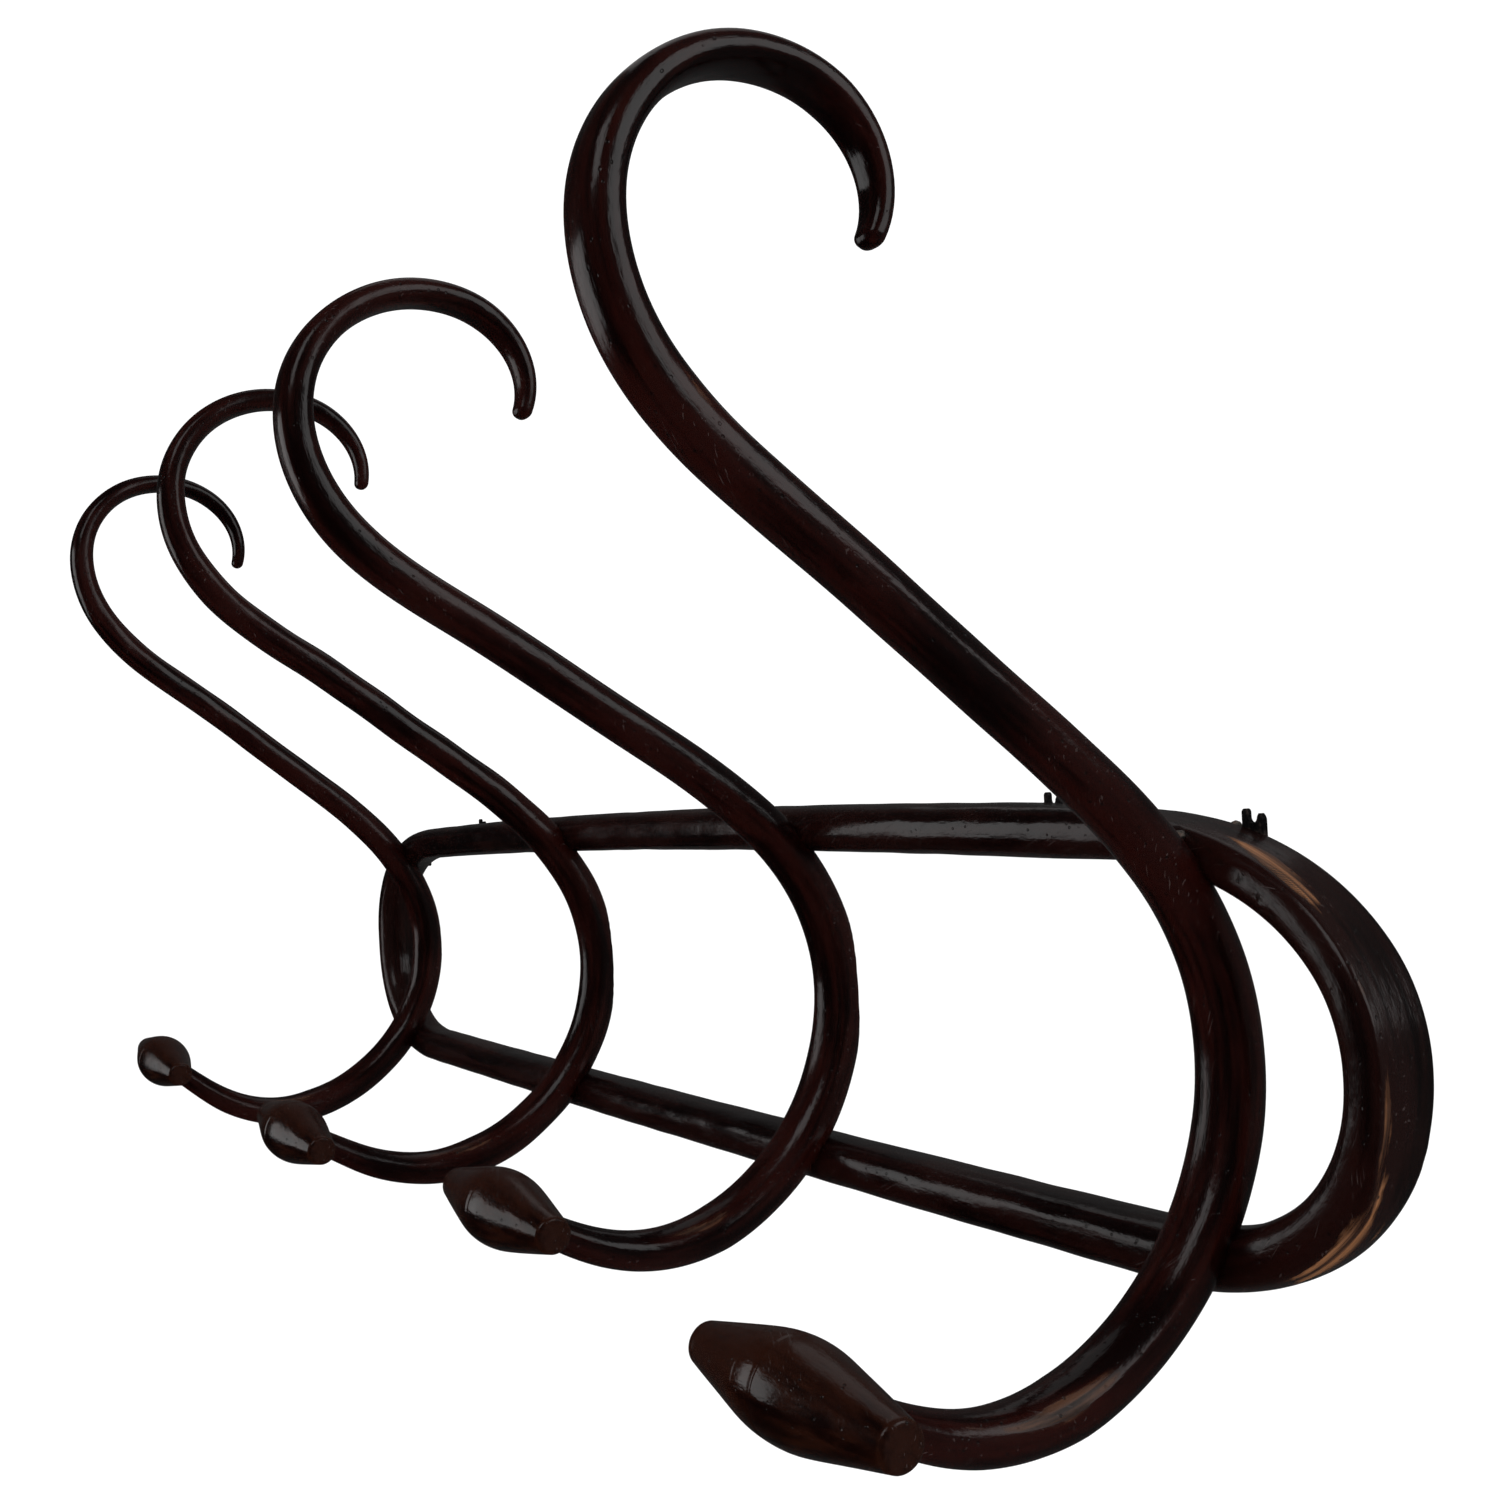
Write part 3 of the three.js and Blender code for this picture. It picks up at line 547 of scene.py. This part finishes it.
def finish_patterns(tree, seed):
    """The patterns that the finish is made of, each following the grain of the unbent rod."""
    rod = add(tree, "Attribute", attribute_name="rod").outputs["Vector"]
    rod = add(tree, "VectorMath", {0: rod, 1: (seed, 0.31 * seed, 0.17 * seed)}, operation="ADD").outputs[0]
    pattern = {}
    for name, (repeats, detail, roughness) in NOISES.items():
        pattern[name] = noise(tree, scaled(tree, rod, repeats), detail, roughness)
    grain, cloud, ripple = pattern["grain"], pattern["cloud"], pattern["ripple"]

    cells = add(tree, "TexVoronoi", {"Vector": scaled(tree, rod, PIT_REPEATS), "Scale": 1.0}).outputs[0]
    pattern["pits"] = times(tree, step_up(tree, cells, 0.2, 0.08), step_up(tree, ripple, 0.44, 0.56))
    scratch = noise(tree, scaled(tree, turned(tree, rod, SCRATCH_TURN), SCRATCH_REPEATS), detail=2)
    pattern["scratches"] = times(tree, step_up(tree, scratch, 0.66, 0.71), step_up(tree, cloud, 0.46, 0.6))
    teeth = add(tree, "TexWave", {"Vector": scaled(tree, rod, TOOTH_REPEATS), "Scale": 1.0,
                                  "Distortion": TOOTH_RAGGED}, bands_direction="X").outputs["Fac"]
    pattern["toothed"] = times(tree, mark(tree, "tool"), step_up(tree, teeth, 0.35, 0.75))

    rubbed = total(tree, (mark(tree, "wear"), 1.0), (grain, 1.0), (ripple, 0.9), (-0.95, 1.0))
    pattern["worn"] = step_up(tree, rubbed, 0.38, 0.78)
    pattern["seam"] = times(tree, mark(tree, "seam"), step_up(tree, cloud, 0.4, 0.55))
    pattern["flat"] = mark(tree, "flat")
    return pattern


def finish_colour(tree, pattern, black, red, bare):
    """Black lacquer, redder where it is thin, over wood that shows where it is worn."""
    thin = total(tree, (pattern["cloud"], 1.0), (pattern["grain"], 0.45),
                 (mark(tree, "wear"), 0.25), (mark(tree, "far"), 0.16))
    lacquer = mixed(tree, step_up(tree, thin, 0.6, 0.86), black, red)
    wood = mixed(tree, step_up(tree, pattern["grain"], 0.38, 0.62), bare[0], bare[1])
    wood = mixed(tree, pattern["toothed"], wood, black)
    colour = mixed(tree, pattern["worn"], lacquer, wood)
    for name, (strength, tint) in STAINS.items():
        colour = mixed(tree, times(tree, pattern[name], strength), colour, tint)
    return colour


def lacquered_wood(name, black, red, bare, seed):
    """Old dark lacquer over bent beech: uneven gloss, pits, scratches, and bare wood where it is rubbed."""
    material, tree, shader = new_material(name)
    pattern = finish_patterns(tree, seed)
    tree.links.new(finish_colour(tree, pattern, black, red, bare), shader.inputs["Base Color"])
    added = [(pattern[key], weight) for key, weight in ROUGHNESS.items()]
    tree.links.new(total(tree, *added, (ROUGHNESS_START, 1.0)), shader.inputs["Roughness"])
    height = total(tree, *[(pattern[key], weight) for key, weight in RELIEF.items()])
    bump = add(tree, "Bump", {"Height": height, "Strength": 1.0, "Distance": MM}).outputs[0]
    tree.links.new(bump, shader.inputs["Normal"])
    shader.inputs["Specular IOR Level"].default_value = 0.5
    shader.inputs["Coat Weight"].default_value = 0.15
    shader.inputs["Coat Roughness"].default_value = 0.16
    return material


def knob_wood(name):
    """Turned knob: browner lacquer that is thinner, and so redder, towards the far end."""
    black, red = (0.0026, 0.0004, 0.0003, 1), (0.015, 0.0036, 0.0015, 1)
    bare = ((0.012, 0.005, 0.0024, 1), (0.04, 0.017, 0.007, 1))
    return lacquered_wood(name, black, red, bare, seed=5.3)


def old_metal(name, dark, light, rust, roughness):
    """Worn metal: mottled, darker and rougher where it has rusted."""
    material, tree, shader = new_material(name)
    here = add(tree, "TexCoord").outputs["Object"]
    mottle = noise(tree, scaled(tree, here, (260, 260, 260)), detail=6, roughness=0.65)
    fine = noise(tree, scaled(tree, here, (1700, 1700, 1700)), detail=3)
    rusty = step_up(tree, mottle, 0.5, 0.66)
    colour = mixed(tree, step_up(tree, fine, 0.35, 0.7), dark, light)
    tree.links.new(mixed(tree, rusty, colour, rust), shader.inputs["Base Color"])
    rough = total(tree, (rusty, 0.3), (fine, 0.2), (roughness, 1.0))
    tree.links.new(rough, shader.inputs["Roughness"])
    metal = calc(tree, "SUBTRACT", 1.0, rusty)
    tree.links.new(metal, shader.inputs["Metallic"])
    height = total(tree, (mottle, 0.08), (fine, 0.02))
    bump = add(tree, "Bump", {"Height": height, "Strength": 1.0, "Distance": MM}).outputs[0]
    tree.links.new(bump, shader.inputs["Normal"])
    return material


def floor_material():
    material, _, shader = new_material("pale_floor")
    shader.inputs["Base Color"].default_value = (0.98, 0.98, 0.98, 1)
    shader.inputs["Roughness"].default_value = 0.9
    shader.inputs["Specular IOR Level"].default_value = 0.1
    return material


# ---------------------------------------------------------------- metal pieces

PLATE_EDGE = 0.4  # how much of each edge is softened
SCREW_EDGE = 0.12


def dress_hardware():
    """Hanger plates and screws keep their CAD shape, with softened edges and worn metal."""
    iron = old_metal("black_iron", dark=(0.012, 0.011, 0.012, 1), light=(0.03, 0.028, 0.03, 1),
                     rust=(0.03, 0.014, 0.008, 1), roughness=0.35)
    steel = old_metal("old_steel", dark=(0.12, 0.11, 0.1, 1), light=(0.28, 0.26, 0.23, 1),
                      rust=(0.07, 0.03, 0.015, 1), roughness=0.25)
    for name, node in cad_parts.items():
        if "plate" not in name and "screw" not in name:
            continue
        screw = "screw" in name
        node.data.materials.clear()
        node.data.materials.append(steel if screw else iron)
        edge = node.modifiers.new("soft edge", "BEVEL")
        edge.width = (SCREW_EDGE if screw else PLATE_EDGE) * MM
        edge.segments = 2
        edge.limit_method = "ANGLE"


# ---------------------------------------------------------------- light, floor, camera

CAMERA_AT = (0.9541, -0.5003, 0.0164)
CAMERA_YAW, CAMERA_PITCH, CAMERA_ROLL = 2.63377, -0.00062, -0.05545
CAMERA_LENS = 42.239
CAMERA_SENSOR = 36
CAMERA_SHIFT = (0.01174, 0.03358)
FLOOR_DROP = 0.9  # the rack hangs this far over the floor
FLOOR_HALF = 40
LIGHTS = {  # towards each soft light from the rack, its distance, width and strength
    "left_window": {"towards": (-0.72, -0.69, 0.05), "distance": 2.6, "size": 1.3, "power": 4.2},
    "front_top": {"towards": (0.45, -0.62, 0.64), "distance": 2.4, "size": 1.0, "power": 3.2},
    "right_window": {"towards": (0.84, 0.42, 0.34), "distance": 2.4, "size": 1.1, "power": 3.6},
    "ceiling": {"towards": (-0.35, 0.4, 0.85), "distance": 2.6, "size": 2.2, "power": 3.0},
}
BACKDROP = 1.12  # strength of the white surroundings
ROOM_DARK, ROOM_BRIGHT = 0.003, 0.04  # what the lacquer mirrors: the room in front, the wall's side
ROOM_TURN = (-0.35, 0.55)  # Y of the mirrored direction between which the one turns into the other


def add_light(name, towards, distance, size, power):
    data = bpy.data.lights.new(name, "AREA")
    data.size, data.energy = size, power
    light = bpy.data.objects.new(name, data)
    direction = Vector(towards).normalized()
    light.location = Vector((CAD_BOX[0] + CAD_BOX[1]) / 2) + direction * distance
    light.rotation_mode = "QUATERNION"
    light.rotation_quaternion = direction.to_track_quat("Z", "Y")
    light.visible_camera = False
    bpy.context.scene.collection.objects.link(light)


def add_world():
    """White behind the rack and a dimmer room in front of it, with a plain white background in view."""
    world = bpy.data.worlds.new("studio")
    world.use_nodes = True
    tree = world.node_tree
    direction = add(tree, "TexCoord").outputs["Generated"]
    split = add(tree, "SeparateXYZ", {0: direction}).outputs
    level = add(tree, "MapRange", {"Value": split[1], "From Min": ROOM_TURN[0], "From Max": ROOM_TURN[1],
                                   "To Min": ROOM_DARK, "To Max": ROOM_BRIGHT},
                interpolation_type="SMOOTHSTEP").outputs[0]
    mirrored = add(tree, "LightPath").outputs["Is Glossy Ray"]
    strength = add(tree, "Mix", {0: mirrored, 2: BACKDROP, 3: level}).outputs[0]
    tree.links.new(strength, tree.nodes["Background"].inputs["Strength"])
    tree.nodes["Background"].inputs["Color"].default_value = (1, 1, 1, 1)
    bpy.context.scene.world = world


def add_floor():
    z = CAD_BOX[0].z - FLOOR_DROP
    corners = [(x * FLOOR_HALF, y * FLOOR_HALF, z) for x, y in ((-1, -1), (1, -1), (1, 1), (-1, 1))]
    mesh = bpy.data.meshes.new("floor")
    mesh.from_pydata(corners, [], [(0, 1, 2, 3)])
    floor = bpy.data.objects.new("floor", mesh)
    floor.data.materials.append(floor_material())
    bpy.context.scene.collection.objects.link(floor)
    floor.visible_glossy = False


def add_camera():
    camera = bpy.data.objects.new("camera", bpy.data.cameras.new("camera"))
    ahead = Vector((math.cos(CAMERA_YAW) * math.cos(CAMERA_PITCH),
                    math.sin(CAMERA_YAW) * math.cos(CAMERA_PITCH), math.sin(CAMERA_PITCH)))
    level = ahead.cross(Vector((0, 0, 1))).normalized()
    upright = level.cross(ahead)
    right = level * math.cos(CAMERA_ROLL) + upright * math.sin(CAMERA_ROLL)
    up = upright * math.cos(CAMERA_ROLL) - level * math.sin(CAMERA_ROLL)
    camera.matrix_world = Matrix.Translation(CAMERA_AT) @ Matrix((right, up, -ahead)).transposed().to_4x4()
    camera.data.sensor_width = CAMERA_SENSOR
    camera.data.lens = CAMERA_LENS
    camera.data.shift_x, camera.data.shift_y = CAMERA_SHIFT
    bpy.context.scene.collection.objects.link(camera)
    bpy.context.scene.camera = camera


# ---------------------------------------------------------------- the rack

bare_wood = ((0.03, 0.009, 0.003, 1), (0.24, 0.094, 0.03, 1))
rubbed_wood = ((0.012, 0.004, 0.0018, 1), (0.07, 0.024, 0.008, 1))
ring_wood = lacquered_wood("ring_lacquer", black=(0.002, 0.0004, 0.0004, 1), red=(0.009, 0.0019, 0.0014, 1),
                           bare=bare_wood, seed=1.7)
build_ring(ring_wood)
for number, hook in enumerate(HOOKS, start=1):
    wood = lacquered_wood(f"hook_lacquer_{number}", black=(0.0022, 0.0003, 0.0003, 1),
                          red=(0.014, 0.0019, 0.0012, 1), bare=rubbed_wood, seed=2.9 + number)
    build_hook(number, hook, wood)
    build_knob(number, hook, knob_wood(f"knob_lacquer_{number}"))
dress_hardware()
add_world()
for name, settings in LIGHTS.items():
    add_light(name, **settings)
add_floor()
add_camera()
bpy.context.scene.view_settings.view_transform = "Standard"
